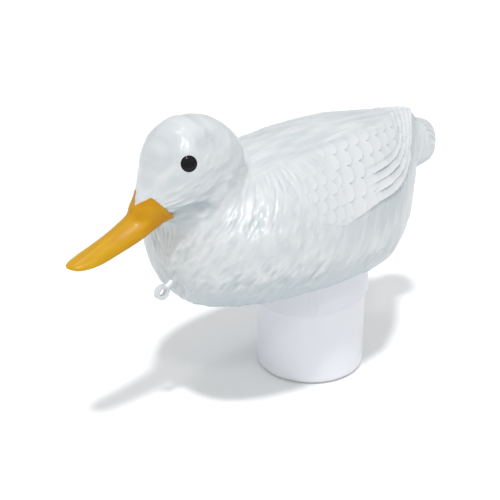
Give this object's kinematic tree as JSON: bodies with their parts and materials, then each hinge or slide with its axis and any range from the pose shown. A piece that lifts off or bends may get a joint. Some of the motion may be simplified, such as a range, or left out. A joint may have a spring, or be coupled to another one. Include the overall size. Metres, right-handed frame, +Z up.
{
  "type": "floating chlorine dispenser",
  "caption": "Duck-shaped pool float standing on a push-fit tablet cup that twists to set its flow windows and pulls down to refill.",
  "frame": {"origin": "centre of the tablet cup's flat bottom", "axes": "+Z up along the cup's axis, -Y the way the duck looks, +X the duck's left side"},
  "size_m": [0.1574, 0.3747, 0.2525],
  "materials": {
    "shell_white": "glossy white blow-moulded polyethylene with feather relief",
    "satin_white": "smooth satin white moulded plastic",
    "bill_yellow": "yellow, shaded to orange towards the head, semi-gloss",
    "eye_black": "polished black",
    "rubber_black": "matt black rubber",
    "screw_steel": "stainless steel"
  },
  "bodies": {
    "float": {"duck_shell": "shell_white", "bill": "bill_yellow", "left_eye": "eye_black", "right_eye": "eye_black", "tether_eye": "shell_white", "hull_plug": "rubber_black", "collar": "satin_white", "collar_gasket": "rubber_black", "collar_screw_1": "screw_steel", "collar_screw_2": "screw_steel", "collar_screw_3": "screw_steel", "collar_screw_4": "screw_steel"},
    "friction_ring": {"friction_ring": "rubber_black"},
    "tablet_cup": {"tablet_cup": "satin_white"}
  },
  "joints": [
    {"name": "cup_pull", "type": "slide", "parent": "float", "child": "friction_ring", "axis": [0, 0, -1], "range_m": [0, 0.07]},
    {"name": "cup_twist", "type": "hinge", "parent": "friction_ring", "child": "tablet_cup", "pos_m": [0, 0, 0.098], "axis": [0, 0, 1], "range_deg": [0, 12]}
  ]
}
